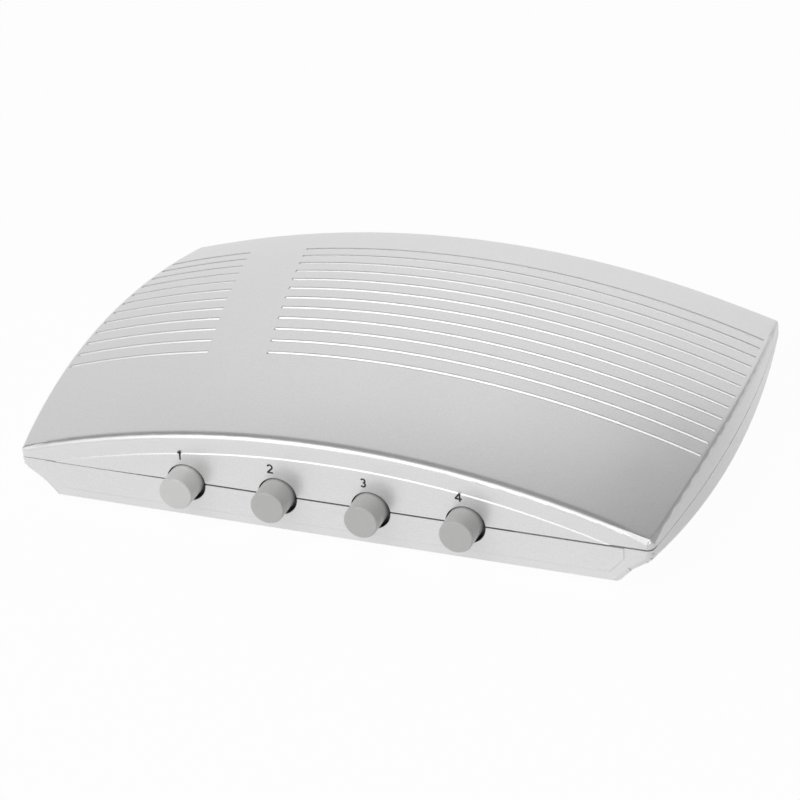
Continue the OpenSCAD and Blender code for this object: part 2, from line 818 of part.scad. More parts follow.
// A coil spring as one unbroken tube of wire
module coil(r, length, curls, wire) {
    last = curls * curl_rings;
    rings = [for (k = [0:last]) each wire_ring(k, r, length, curls, wire)];
    sides = [for (k = [0:last - 1], s = [0:wire_sides - 1])
        let (a = k * wire_sides + s, b = k * wire_sides + (s + 1) % wire_sides)
        each [[a, b, a + wire_sides], [b, b + wire_sides, a + wire_sides]]];
    first_end = [for (s = [1:wire_sides - 2]) [0, s + 1, s]];
    last_end = [for (s = [1:wire_sides - 2]) [last * wire_sides, last * wire_sides + s, last * wire_sides + s + 1]];
    echo(least_gap = coil_gap(coil_line(r, length, curls), wire));
    polyhedron(points = rings, faces = concat(sides, first_end, last_end));
}

module return_spring(i) {
    color("gainsboro")
        translate([button_xs[i], cap_rear_y + spring_wire / 2 + poke, axis_z])
            rotate([-90, 0, 0])
                coil(spring_r, spring_l - spring_wire - 2 * poke, spring_curls, spring_wire);
}

// A switch body, bored for the plunger's whole travel
module switch_body(i) {
    bore_l = plunger_in + travel + plunger_gap;
    color("ivory")
        translate([button_xs[i], switch_y, axis_z])
            difference() {
                translate([-switch_w / 2, 0, -axis_h]) cube([switch_w, switch_l, 2 * axis_h]);
                translate([0, bore_l, 0])
                    rotate([90, 0, 0])
                        linear_extrude(bore_l + over) plunger_section(plunger_gap);
            }
}

// Bent steel frame: front plate with solder tabs, and an ear at each end that guides the latch bar
module switch_frame() {
    spring_room = latch_spring_r + latch_wire + latch_gap;
    color("lightsteelblue")
        translate([bank_x, 0, 0]) difference() {
            union() {
                translate([-frame_half, frame_y, board_top]) cube([frame_half + ear_x + frame_t, frame_t, axis_h + frame_above]);
                translate([-frame_half, frame_y, board_top]) cube([frame_t, frame_t + ear_d, axis_h + frame_above]);
                translate([ear_x, frame_y, board_top]) cube([frame_t, frame_t + ear_d, axis_h + frame_above]);
                for (x = tab_xs)
                    translate([x - tab_w / 2, frame_y, board_top - pin_drop]) cube([tab_w, frame_t, pin_drop + over]);
            }
            for (x = bank_xs)
                translate([x, frame_y + frame_t + over, axis_z])
                    rotate([90, 0, 0])
                        linear_extrude(frame_t + 2 * over) plunger_section(plunger_gap);
            translate([shoulder_x - over, frame_y - over, axis_z - spring_room])
                cube([ear_x - shoulder_x + over, frame_t + 2 * over, 2 * spring_room]);
            translate([-frame_half - over, latch_y - latch_gap, axis_z - latch_h / 2 - latch_gap])
                cube([frame_t + 2 * over, latch_t + 2 * latch_gap, latch_h + 2 * latch_gap]);
            translate([ear_x - over, latch_y - latch_gap, axis_z - tongue_h / 2 - latch_gap])
                cube([frame_t + 2 * over, latch_t + 2 * latch_gap, tongue_h + 2 * latch_gap]);
        }
}

// Sliding latch bar with a window for each plunger and a tongue that carries its spring
module latch_bar() {
    window_low = plunger_w / 2 + plunger_gap + latch_travel;
    window_high = plunger_w / 2 + cam_out + plunger_gap;
    color("silver")
        translate([bank_x, latch_y, axis_z])
            difference() {
                union() {
                    translate([-frame_half - frame_t, 0, -latch_h / 2])
                        cube([frame_half + frame_t + shoulder_x, latch_t, latch_h]);
                    translate([shoulder_x - over, 0, -tongue_h / 2])
                        cube([latch_spring_l + frame_t + 2 * over, latch_t, tongue_h]);
                }
                for (x = bank_xs)
                    translate([x - window_low, -over, -window_h / 2])
                        cube([window_low + window_high, latch_t + 2 * over, window_h]);
            }
}

module latch_spring() {
    color("gainsboro")
        translate([bank_x + shoulder_x + latch_wire / 2 + poke, latch_y + latch_t / 2, axis_z])
            rotate([0, 90, 0])
                coil(latch_spring_r, latch_spring_l - latch_wire - 2 * poke, latch_curls, latch_wire);
}

// Pins under the switch bodies, two rows of three each
module switch_pins() {
    color("gainsboro")
        for (p = pin_places)
            translate([p[0] - pin_w / 2, p[1] - pin_w / 2, board_top - pin_drop]) cube([pin_w, pin_w, pin_drop]);
}

module circuit_board() {
    color("darkgreen")
        difference() {
            translate([-board_w / 2, board_y, board_z]) cube([board_w, board_rear_y - board_y, board_t]);
            for (p = stand_places)
                translate([p[0], p[1], board_z - over]) cylinder(d = board_screw_d + 2 * screw_gap, h = board_t + 2 * over);
            for (p = pin_places)
                translate([p[0], p[1], board_z + board_t / 2])
                    cube([pin_w + 2 * pin_gap, pin_w + 2 * pin_gap, board_t + 2 * over], center = true);
            for (p = leg_places)
                translate([p[0], p[1], board_z + board_t / 2])
                    cube([socket_t + 2 * pin_gap, leg_w + 2 * pin_gap, board_t + 2 * over], center = true);
            for (x = tab_xs)
                translate([bank_x + x, frame_y + frame_t / 2, board_z + board_t / 2])
                    cube([tab_w + 2 * pin_gap, frame_t + 2 * pin_gap, board_t + 2 * over], center = true);
        }
}

module socket_shell(i) {
    x = socket_xs[i];
    color("gainsboro") {
        difference() {
            socket_stock(x, 0, mouth_y - socket_d, mouth_y);
            socket_stock(x, socket_t, mouth_y - socket_d + socket_t, mouth_y + over);
        }
        for (p = leg_places)
            if (abs(p[0] - x) < socket_w / 2)
                translate([p[0] - socket_t / 2, p[1] - leg_w / 2, board_top - pin_drop])
                    cube([socket_t, leg_w, pin_drop + socket_t / 2]);
    }
}

// Moulded insert of a socket: the block in the back of the shell and the tongue
module socket_tongue(i) {
    back = mouth_y - socket_d + socket_t + block_fit;
    color("dimgray") {
        socket_stock(socket_xs[i], socket_t + block_fit, back, back + block_l);
        translate([socket_xs[i] - contact_tongue_w / 2, back, tongue_z - contact_tongue_t / 2])
            cube([contact_tongue_w, mouth_y - tongue_back - back, contact_tongue_t]);
    }
}

// Contacts on both faces of every tongue, the lower row half a pitch aside
module socket_contacts() {
    color("gold")
        for (x = socket_xs, face = [-1, 1], k = [0:upper_contacts - 1 - (face < 0 ? 1 : 0)]) {
            count = upper_contacts - (face < 0 ? 1 : 0);
            across = (k - (count - 1) / 2) * contact_pitch;
            translate([x + across, mouth_y - tongue_back - contact_l / 2 - contact_t,
                tongue_z + face * (contact_tongue_t + contact_t) / 2])
                cube([contact_w, contact_l, contact_t], center = true);
        }
}

// A screw with a round head, pointing along +Z from the face under its head
module screw(d, length, head_d, head_h) {
    cylinder(d = d, h = length);
    translate([0, 0, -head_h]) cylinder(d = head_d, h = head_h);
}

module case_screws() {
    color("gainsboro")
        for (p = post_places)
            translate([p[0], p[1], head_z]) screw(screw_d, screw_l, screw_head_d, screw_head_h);
}

module board_screws() {
    color("gainsboro")
        for (p = stand_places)
            translate([p[0], p[1], board_top])
                rotate([180, 0, 0]) screw(board_screw_d, board_screw_l, board_head_d, board_head_h);
}

// A stick-on foot in its recess
module foot(i) {
    p = foot_places[i];
    color("dimgray")
        translate([p[0], p[1], 0])
            rotate_extrude()
                difference() {
                    square([foot_d / 2, foot_out + foot_seat]);
                    round_corner([foot_d / 2, 0], 90, 180, foot_edge_r);
                }
}

top_cover();
bottom_shell();
for (i = [0:button_count - 1]) {
    button_cap(i);
    plunger(i);
    return_spring(i);
    switch_body(i);
}
switch_frame();
latch_bar();
latch_spring();
switch_pins();
circuit_board();
for (i = [0:socket_count - 1]) {
    socket_shell(i);
    socket_tongue(i);
}
socket_contacts();
case_screws();
board_screws();
for (i = [0:len(foot_places) - 1])
    foot(i);
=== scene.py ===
import math

import bmesh
import bpy
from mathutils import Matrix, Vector


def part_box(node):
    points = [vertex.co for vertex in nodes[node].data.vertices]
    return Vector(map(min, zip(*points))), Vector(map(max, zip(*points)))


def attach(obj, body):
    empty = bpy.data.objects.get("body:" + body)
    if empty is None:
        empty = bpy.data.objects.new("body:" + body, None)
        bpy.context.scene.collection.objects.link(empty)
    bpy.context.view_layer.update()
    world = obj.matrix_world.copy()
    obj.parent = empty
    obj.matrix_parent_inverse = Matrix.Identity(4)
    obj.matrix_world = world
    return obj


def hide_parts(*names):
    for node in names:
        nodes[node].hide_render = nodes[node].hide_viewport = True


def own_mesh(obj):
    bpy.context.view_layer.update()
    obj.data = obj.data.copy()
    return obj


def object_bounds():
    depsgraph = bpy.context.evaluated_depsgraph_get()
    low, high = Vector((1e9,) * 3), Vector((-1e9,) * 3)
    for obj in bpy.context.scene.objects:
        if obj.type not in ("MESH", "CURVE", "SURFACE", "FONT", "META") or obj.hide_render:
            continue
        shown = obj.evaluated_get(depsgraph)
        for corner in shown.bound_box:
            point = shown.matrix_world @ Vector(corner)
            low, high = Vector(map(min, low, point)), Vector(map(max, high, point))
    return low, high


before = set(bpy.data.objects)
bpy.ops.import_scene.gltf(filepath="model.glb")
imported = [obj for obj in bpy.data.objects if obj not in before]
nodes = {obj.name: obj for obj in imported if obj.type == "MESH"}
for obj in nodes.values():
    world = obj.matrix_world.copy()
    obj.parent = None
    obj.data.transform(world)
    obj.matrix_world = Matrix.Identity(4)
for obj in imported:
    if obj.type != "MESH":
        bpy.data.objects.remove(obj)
cad_low, cad_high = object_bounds()
bpy.ops.object.select_all(action="DESELECT")


# Bottom shell: a tray moulded in one shot, with the posts for the board and for the case screws. It is
# sprayed with a satin silver coat of fine aluminium flake, and wiping has left its gloss a little uneven.
# The walls just behind the rims of the openings, in the tray and the cover, carry near-black painted
# shade.
# The piece is a merged and evenly smoothed copy of the solid.
def new_material(name):
    material = bpy.data.materials.new(name)
    material.use_nodes = True
    return material, material.node_tree.nodes, material.node_tree.links


def new_group(name, sockets):
    group = bpy.data.node_groups.new(name, "ShaderNodeTree")
    for in_out, kind, title in sockets:
        group.interface.new_socket(name=title, in_out=in_out, socket_type=kind)
    return group, group.nodes, group.links


def maths_node(tree, operation):
    node = tree.new("ShaderNodeMath")
    node.operation = operation
    return node


def vector_node(tree, operation):
    node = tree.new("ShaderNodeVectorMath")
    node.operation = operation
    return node


def range_node(tree, from_low, from_high, to_low, to_high):
    node = tree.new("ShaderNodeMapRange")
    node.inputs["From Min"].default_value = from_low
    node.inputs["From Max"].default_value = from_high
    node.inputs["To Min"].default_value = to_low
    node.inputs["To Max"].default_value = to_high
    return node


fine_grain, tree, links = new_group("fine_grain", [
    ("INPUT", "NodeSocketColor", "Colour"),
    ("INPUT", "NodeSocketFloat", "Grains per Metre"),
    ("INPUT", "NodeSocketFloat", "Contrast"),
    ("INPUT", "NodeSocketFloat", "Relief"),
    ("OUTPUT", "NodeSocketColor", "Colour"),
    ("OUTPUT", "NodeSocketVector", "Normal"),
])
given = tree.new("NodeGroupInput")
made = tree.new("NodeGroupOutput")
place = tree.new("ShaderNodeTexCoord")
specks = tree.new("ShaderNodeTexNoise")
specks.inputs["Detail"].default_value = 3.0
centred = maths_node(tree, "SUBTRACT")
centred.inputs[1].default_value = 0.5
shade = maths_node(tree, "MULTIPLY_ADD")
shade.inputs[2].default_value = 1.0
tinted = vector_node(tree, "SCALE")
relief = tree.new("ShaderNodeBump")
relief.inputs["Strength"].default_value = 1.0
links.new(place.outputs["Object"], specks.inputs["Vector"])
links.new(given.outputs["Grains per Metre"], specks.inputs["Scale"])
links.new(specks.outputs["Fac"], centred.inputs[0])
links.new(centred.outputs[0], shade.inputs[0])
links.new(given.outputs["Contrast"], shade.inputs[1])
links.new(given.outputs["Colour"], tinted.inputs["Vector"])
links.new(shade.outputs[0], tinted.inputs["Scale"])
links.new(specks.outputs["Fac"], relief.inputs["Height"])
links.new(given.outputs["Relief"], relief.inputs["Distance"])
links.new(tinted.outputs[0], made.inputs["Colour"])
links.new(relief.outputs[0], made.inputs["Normal"])

wiped_gloss, tree, links = new_group("wiped_gloss", [
    ("INPUT", "NodeSocketFloat", "Roughness"),
    ("INPUT", "NodeSocketFloat", "Spread"),
    ("OUTPUT", "NodeSocketFloat", "Roughness"),
])
given = tree.new("NodeGroupInput")
made = tree.new("NodeGroupOutput")
place = tree.new("ShaderNodeTexCoord")
stretch = tree.new("ShaderNodeMapping")
stretch.inputs["Scale"].default_value = (1.0, 0.45, 1.0)
stretch.inputs["Rotation"].default_value = (0.0, 0.0, 0.5)
smears = tree.new("ShaderNodeTexNoise")
smears.inputs["Scale"].default_value = 40.0
smears.inputs["Detail"].default_value = 3.0
smears.inputs["Distortion"].default_value = 0.2
centred = maths_node(tree, "SUBTRACT")
centred.inputs[1].default_value = 0.5
uneven = maths_node(tree, "MULTIPLY_ADD")
links.new(place.outputs["Object"], stretch.inputs["Vector"])
links.new(stretch.outputs["Vector"], smears.inputs["Vector"])
links.new(smears.outputs["Fac"], centred.inputs[0])
links.new(centred.outputs[0], uneven.inputs[0])
links.new(given.outputs["Spread"], uneven.inputs[1])
links.new(given.outputs["Roughness"], uneven.inputs[2])
links.new(uneven.outputs[0], made.inputs["Roughness"])

box_mask, tree, links = new_group("box_mask", [
    ("INPUT", "NodeSocketVector", "Middle"),
    ("INPUT", "NodeSocketVector", "Half Size"),
    ("OUTPUT", "NodeSocketFloat", "Inside"),
])
given = tree.new("NodeGroupInput")
made = tree.new("NodeGroupOutput")
place = tree.new("ShaderNodeTexCoord")
offset = vector_node(tree, "SUBTRACT")
distance = vector_node(tree, "ABSOLUTE")
excess = vector_node(tree, "SUBTRACT")
parts = tree.new("ShaderNodeSeparateXYZ")
widest = maths_node(tree, "MAXIMUM")
furthest = maths_node(tree, "MAXIMUM")
inside = maths_node(tree, "LESS_THAN")
inside.inputs[1].default_value = 0.0
links.new(place.outputs["Object"], offset.inputs[0])
links.new(given.outputs["Middle"], offset.inputs[1])
links.new(offset.outputs["Vector"], distance.inputs[0])
links.new(distance.outputs["Vector"], excess.inputs[0])
links.new(given.outputs["Half Size"], excess.inputs[1])
links.new(excess.outputs["Vector"], parts.inputs[0])
links.new(parts.outputs["X"], widest.inputs[0])
links.new(parts.outputs["Y"], widest.inputs[1])
links.new(widest.outputs[0], furthest.inputs[0])
links.new(parts.outputs["Z"], furthest.inputs[1])
links.new(furthest.outputs[0], inside.inputs[0])
links.new(inside.outputs[0], made.inputs["Inside"])


def surface(name, colour, metallic, roughness, grains, contrast, relief_depth, spread):
    material, tree, links = new_material(name)
    shader = tree["Principled BSDF"]
    shader.inputs["Metallic"].default_value = metallic
    grain = tree.new("ShaderNodeGroup")
    grain.name = "grain"
    grain.node_tree = fine_grain
    grain.inputs["Colour"].default_value = colour + (1.0,)
    grain.inputs["Grains per Metre"].default_value = grains
    grain.inputs["Contrast"].default_value = contrast
    grain.inputs["Relief"].default_value = relief_depth
    gloss = tree.new("ShaderNodeGroup")
    gloss.node_tree = wiped_gloss
    gloss.inputs["Roughness"].default_value = roughness
    gloss.inputs["Spread"].default_value = spread
    links.new(grain.outputs["Colour"], shader.inputs["Base Color"])
    links.new(grain.outputs["Normal"], shader.inputs["Normal"])
    links.new(gloss.outputs["Roughness"], shader.inputs["Roughness"])
    return material


# Painted shade: inside a box in object space, the colour is mixed to a dark shade colour and metallic
# falls to 0
def paint_shade_within(material, low, high, colour):
    tree = material.node_tree.nodes
    links = material.node_tree.links
    shader = tree["Principled BSDF"]
    painted = shader.inputs["Base Color"].links[0].from_socket
    mask = tree.new("ShaderNodeGroup")
    mask.node_tree = box_mask
    mask.inputs["Middle"].default_value = (low + high) / 2
    mask.inputs["Half Size"].default_value = (high - low) / 2
    shade_mix = tree.new("ShaderNodeMix")
    shade_mix.data_type = "RGBA"
    shade_mix.inputs["B"].default_value = colour + (1.0,)
    coat_metal = shader.inputs["Metallic"].default_value
    metal = range_node(tree, from_low=0.0, from_high=1.0, to_low=coat_metal, to_high=0.0)
    links.new(mask.outputs["Inside"], shade_mix.inputs["Factor"])
    links.new(painted, shade_mix.inputs["A"])
    links.new(shade_mix.outputs["Result"], shader.inputs["Base Color"])
    links.new(mask.outputs["Inside"], metal.inputs["Value"])
    links.new(metal.outputs["Result"], shader.inputs["Metallic"])


def dress(node, material):
    node.data.materials.clear()
    node.data.materials.append(material)


def pick(piece):
    bpy.ops.object.select_all(action="DESELECT")
    piece.select_set(True)
    bpy.context.view_layer.objects.active = piece


def merged_copy(node, name):
    piece = bpy.data.objects.new(name, node.data.copy())
    bpy.context.scene.collection.objects.link(piece)
    pick(piece)
    bpy.ops.object.mode_set(mode="EDIT")
    bpy.ops.mesh.customdata_custom_splitnormals_clear()
    bpy.ops.mesh.select_all(action="SELECT")
    bpy.ops.mesh.remove_doubles(threshold=0.000002)
    bpy.ops.object.mode_set(mode="OBJECT")
    return piece


def smooth_moulding(piece):
    pick(piece)
    bpy.ops.object.shade_smooth_by_angle(angle=math.radians(30.0), keep_sharp_edges=False)
    true_normals = piece.modifiers.new("true_normals", "WEIGHTED_NORMAL")
    true_normals.keep_sharp = True
    bpy.ops.object.modifier_apply(modifier="true_normals")


silver_paint = surface("silver_paint", colour=(0.79, 0.79, 0.795), metallic=0.66, roughness=0.32,
                       grains=2600.0, contrast=0.24, relief_depth=0.000003, spread=0.05)
# Near-black colour that stands in for shade in hollows the light does not reach
painted_shade_black = (0.02, 0.02, 0.02)
rim_start = 0.0005
rim_end = 0.0045
rim_below = 0.0004
rim_above = 0.0007
rims_half_w = 0.050
panel_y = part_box("bottom_shell")[0].y
caps_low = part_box("button_cap_1")[0]
caps_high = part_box("button_cap_4")[1]
rims_low = Vector((-rims_half_w, panel_y + rim_start, caps_low.z - rim_below))
rims_high = Vector((rims_half_w, panel_y + rim_end, caps_high.z + rim_above))
# Painted shade: the walls just behind the rims of the openings are coloured near-black and not metallic
paint_shade_within(silver_paint, rims_low, rims_high, painted_shade_black)
tray = merged_copy(nodes["bottom_shell"], "tray_moulded")
smooth_moulding(tray)
dress(tray, silver_paint)
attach(tray, "housing")
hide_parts("bottom_shell")


# Circuit board: glass-fibre laminate under green solder mask, held on four posts of the tray by screws
# of zinc-plated steel. Copper runs show through the mask as lighter lines along and across the board.
mask_green = (0.012, 0.11, 0.035)
board_mask = surface("board_mask", colour=mask_green, metallic=0.0, roughness=0.32,
                     grains=1800.0, contrast=0.25, relief_depth=0.000002, spread=0.08)
tree = board_mask.node_tree.nodes
links = board_mask.node_tree.links
place = tree.new("ShaderNodeTexCoord")
runs = tree.new("ShaderNodeTexBrick")
runs.inputs["Scale"].default_value = 120.0
runs.inputs["Mortar Size"].default_value = 0.018
runs.inputs["Color1"].default_value = mask_green + (1.0,)
runs.inputs["Color2"].default_value = (0.014, 0.125, 0.04, 1.0)
runs.inputs["Mortar"].default_value = (0.035, 0.24, 0.08, 1.0)
links.new(place.outputs["Object"], runs.inputs["Vector"])
links.new(runs.outputs["Color"], tree["grain"].inputs["Colour"])
dress(nodes["circuit_board"], board_mask)

zinc_steel = surface("zinc_steel", colour=(0.60, 0.61, 0.63), metallic=1.0, roughness=0.34,
                     grains=1500.0, contrast=0.20, relief_depth=0.000003, spread=0.16)
dress(nodes["board_screws"], zinc_steel)


# Video sockets: a shell of folded, plated sheet round a black moulded tongue with gilt contacts.
# The shells get the soft bends and the rolled mouth of folded sheet, and two spring tabs above and
# two below the tongue, which grip the plug.
def joined(pieces):
    pick(pieces[0])
    for piece in pieces[1:]:
        piece.select_set(True)
    bpy.ops.object.join()
    return bpy.context.object


socket_plate = surface("socket_plate", colour=(0.70, 0.69, 0.67), metallic=1.0, roughness=0.24,
                       grains=900.0, contrast=0.12, relief_depth=0.000002, spread=0.14)
black_plastic = surface("black_plastic", colour=(0.022, 0.022, 0.023), metallic=0.0, roughness=0.48,
                        grains=2200.0, contrast=0.35, relief_depth=0.000004, spread=0.10)
gilt = surface("gilt", colour=(0.83, 0.60, 0.24), metallic=1.0, roughness=0.22,
               grains=1500.0, contrast=0.10, relief_depth=0.000001, spread=0.06)
dress(nodes["socket_contacts"], gilt)
sheet = 0.0004
bend_l = 0.008
bend_r = 0.0006
mouth_r = 0.0001
touch = 0.00001
tab_size = Vector((0.0018, 0.0062, 0.00016))
tab_spread = 0.0031
tab_inset = 0.0041
tab_gap = 0.00022
tab_r = 0.00005
tab_lean = math.radians(3.0)
board_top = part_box("circuit_board")[1].z
for number in range(1, 6):
    dress(nodes["socket_tongue_%d" % number], black_plastic)
    low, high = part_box("socket_shell_%d" % number)
    shell = merged_copy(nodes["socket_shell_%d" % number], "socket_%d_folded" % number)
    bpy.ops.object.mode_set(mode="EDIT")
    bpy.ops.mesh.select_all(action="SELECT")
    bpy.ops.mesh.dissolve_limited(angle_limit=math.radians(1.0))
    bpy.ops.mesh.select_all(action="DESELECT")
    bpy.ops.mesh.select_mode(type="EDGE")
    form = bmesh.from_edit_mesh(shell.data)
    for edge in form.edges:
        run = edge.verts[0].co - edge.verts[1].co
        edge.select_set(abs(run.y) > bend_l and abs(run.x) + abs(run.z) < touch)
    bmesh.update_edit_mesh(shell.data)
    bpy.ops.mesh.bevel(offset=bend_r, segments=4, affect="EDGES")
    bpy.ops.mesh.select_all(action="DESELECT")
    form = bmesh.from_edit_mesh(shell.data)
    for edge in form.edges:
        edge.select_set(min(vert.co.y for vert in edge.verts) > high.y - touch)
    bmesh.update_edit_mesh(shell.data)
    bpy.ops.mesh.bevel(offset=mouth_r, segments=2, affect="EDGES")
    bpy.ops.object.mode_set(mode="OBJECT")
    tabs = []
    for side in (-1, 1):
        for up in (-1, 1):
            seat_x = (low.x + high.x) / 2 + side * tab_spread
            seat_z = high.z - sheet if up > 0 else board_top + sheet
            bpy.ops.mesh.primitive_cube_add(size=1.0)
            tabs.append(bpy.context.object)
            bpy.ops.object.mode_set(mode="EDIT")
            bpy.ops.transform.resize(value=tab_size)
            bpy.ops.transform.rotate(value=up * tab_lean, orient_axis="X", center_override=(0, 0, 0))
            bpy.ops.mesh.bevel(offset=tab_r, segments=2, affect="EDGES")
            bpy.ops.mesh.select_all(action="SELECT")
            bpy.ops.transform.translate(value=(seat_x, high.y - tab_inset, seat_z - up * tab_gap))
            bpy.ops.object.mode_set(mode="OBJECT")
    joined([shell] + tabs)
    bpy.ops.object.shade_smooth_by_angle(angle=math.radians(35.0))
    dress(shell, socket_plate)
    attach(shell, "housing")
    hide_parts("socket_shell_%d" % number)


# Switch bank: four off-white switch bodies on the board behind a bent plate of zinc-plated steel.
# The latch bar slides along the plate, and the pins of the switches are soldered into the board.
ivory_plastic = surface("ivory_plastic", colour=(0.66, 0.62, 0.52), metallic=0.0, roughness=0.45,
                        grains=1700.0, contrast=0.14, relief_depth=0.000005, spread=0.08)
for number in range(1, 5):
    dress(nodes["switch_body_%d" % number], ivory_plastic)
for name in ("switch_frame", "latch_bar", "switch_pins"):
    dress(nodes[name], zinc_steel)


# Springs: drawn steel wire, wound with open curls and closed with one flat curl at each end.
# A return spring sits round each plunger between its cap and the plate. The latch spring sits at the
# end of the latch bar.
spring_wire = surface("spring_wire", colour=(0.55, 0.55, 0.57), metallic=1.0, roughness=0.28,
                      grains=4000.0, contrast=0.18, relief_depth=0.000001, spread=0.10)
wire_sides = 10
curl_sides = 28
# Each spring with its joint, its axis, the number of its curls, its wire radius and its travel
springs = []
for number in range(1, 5):
    springs.append(("return_spring_%d" % number, "button_%d_press" % number, "Y", 6, 0.0003, 0.004))
springs.append(("latch_spring", "latch_slide", "X", 7, 0.0002, 0.0012))
for name, joint, axis_name, curls, wire_r, travel in springs:
    low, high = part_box(name)
    axis = Vector((0, 1, 0)) if axis_name == "Y" else Vector((1, 0, 0))
    length = (high - low).dot(axis)
    coil_r = (high.z - low.z) / 2 - wire_r
    start = (low + high) / 2 - axis * length / 2
    bpy.ops.object.select_all(action="DESELECT")
    bpy.ops.mesh.primitive_circle_add(vertices=wire_sides, radius=wire_r, fill_type="NGON")
    coil = bpy.context.object
    coil.name = name + "_wound"
    bpy.ops.object.mode_set(mode="EDIT")
    if axis_name == "Y":
        bpy.ops.transform.translate(value=(coil_r, wire_r, 0))
    else:
        bpy.ops.transform.rotate(value=math.radians(90), orient_axis="Z", center_override=(0, 0, 0))
        bpy.ops.transform.translate(value=(wire_r, coil_r, 0))
    bpy.ops.object.mode_set(mode="OBJECT")
    winding = coil.modifiers.new("winding", "SCREW")
    winding.axis = axis_name
    winding.angle = 2 * math.pi * curls
    winding.screw_offset = length - 2 * wire_r
    winding.steps = curl_sides * curls
    winding.render_steps = curl_sides * curls
    bpy.ops.object.modifier_apply(modifier="winding")
    flat_curls = []
    for end in (wire_r, length - wire_r):
        turn = (math.radians(90), 0, 0) if axis_name == "Y" else (0, math.radians(90), 0)
        bpy.ops.mesh.primitive_torus_add(location=axis * end, rotation=turn, major_radius=coil_r,
                                         minor_radius=wire_r, major_segments=curl_sides,
                                         minor_segments=wire_sides)
        flat_curls.append(bpy.context.object)
    joined([coil] + flat_curls)
    bpy.ops.object.mode_set(mode="EDIT")
    bpy.ops.mesh.select_all(action="SELECT")
    bpy.ops.mesh.normals_make_consistent(inside=False)
    bpy.ops.transform.translate(value=start)
    bpy.ops.object.mode_set(mode="OBJECT")
    bpy.ops.object.shade_smooth_by_angle(angle=math.radians(50.0))
    dress(coil, spring_wire)
    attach(coil, "housing")
    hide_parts(name)
    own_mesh(coil)


# Buttons: square plungers of black plastic run through the plate into the switch bodies, and carry
# round caps pressed on from the front. The caps are light grey, dyed through, with a soft gloss; the
# collar behind the front wall is painted near-black as painted shade. The first one is a shade
# lighter, as in the photograph.
cap_grey = surface("cap_grey", colour=(0.525, 0.525, 0.51), metallic=0.0, roughness=0.42,
                   grains=2400.0, contrast=0.16, relief_depth=0.000004, spread=0.08)
cap_pale = surface("cap_pale", colour=(0.68, 0.68, 0.665), metallic=0.0, roughness=0.42,
                   grains=2400.0, contrast=0.16, relief_depth=0.000004, spread=0.08)
collar_l = 0.0018
around = 0.001
collars_low = Vector((caps_low.x - around, caps_high.y - collar_l, caps_low.z - around))
collars_high = caps_high + Vector((around, around, around))
for dyed in (cap_grey, cap_pale):
    shader = dyed.node_tree.nodes["Principled BSDF"]
    shader.inputs["Coat Weight"].default_value = 0.5
    shader.inputs["Coat Roughness"].default_value = 0.15
    # Painted shade: the collar behind the front wall is coloured near-black
    paint_shade_within(dyed, collars_low, collars_high, painted_shade_black)
for number in range(1, 5):
    dress(nodes["plunger_%d" % number], black_plastic)
    dress(nodes["button_cap_%d" % number], cap_pale if number == 1 else cap_grey)


# Top cover: a thin domed moulding in the same silver coat, with two groups of grooves across the top and
# a raised, bevelled panel round the upper halves of the openings. Turned cutters slope the rear lip of
# each groove, and the front and rear edges are laid on a turned profile that starts softly.
def trace(points):
    # A small circle, merged to one point, starts the line
    bpy.ops.object.select_all(action="DESELECT")
    bpy.ops.mesh.primitive_circle_add(vertices=3, radius=0.001)
    line = bpy.context.object
    bpy.ops.object.mode_set(mode="EDIT")
    bpy.ops.mesh.select_mode(type="VERT")
    bpy.ops.mesh.select_all(action="SELECT")
    bpy.ops.mesh.merge(type="CENTER")
    bpy.ops.mesh.select_all(action="SELECT")
    bpy.ops.transform.translate(value=points[0])
    for here, following in zip(points, points[1:]):
        bpy.ops.mesh.extrude_vertices_move(TRANSFORM_OT_translate={"value": following - here})
    bpy.ops.object.mode_set(mode="OBJECT")
    return line


def turned(points, middle, from_turn, to_turn, steps, filled):
    piece = trace(points)
    bpy.ops.object.mode_set(mode="EDIT")
    bpy.ops.mesh.select_all(action="SELECT")
    if filled:
        bpy.ops.mesh.edge_face_add()
    bpy.ops.transform.rotate(value=-from_turn, orient_axis="Y", center_override=middle)
    bpy.ops.mesh.spin(steps=steps, angle=to_turn - from_turn, center=middle, axis=(0, -1, 0))
    bpy.ops.mesh.select_all(action="SELECT")
    bpy.ops.mesh.normals_make_consistent(inside=False)
    bpy.ops.object.mode_set(mode="OBJECT")
    return piece


dome_r = 0.275
panel_out = 0.0003
cover_low, cover_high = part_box("top_cover")
front_y = cover_low.y + panel_out
rear_y = cover_high.y
half_depth = (rear_y - front_y) / 2
dome_middle = Vector((0, (front_y + rear_y) / 2, cover_high.z - dome_r))
side_bow = 0.0042
side_r = (half_depth ** 2 + side_bow ** 2) / (2 * side_bow)
cover = merged_copy(nodes["top_cover"], "cover_moulded")

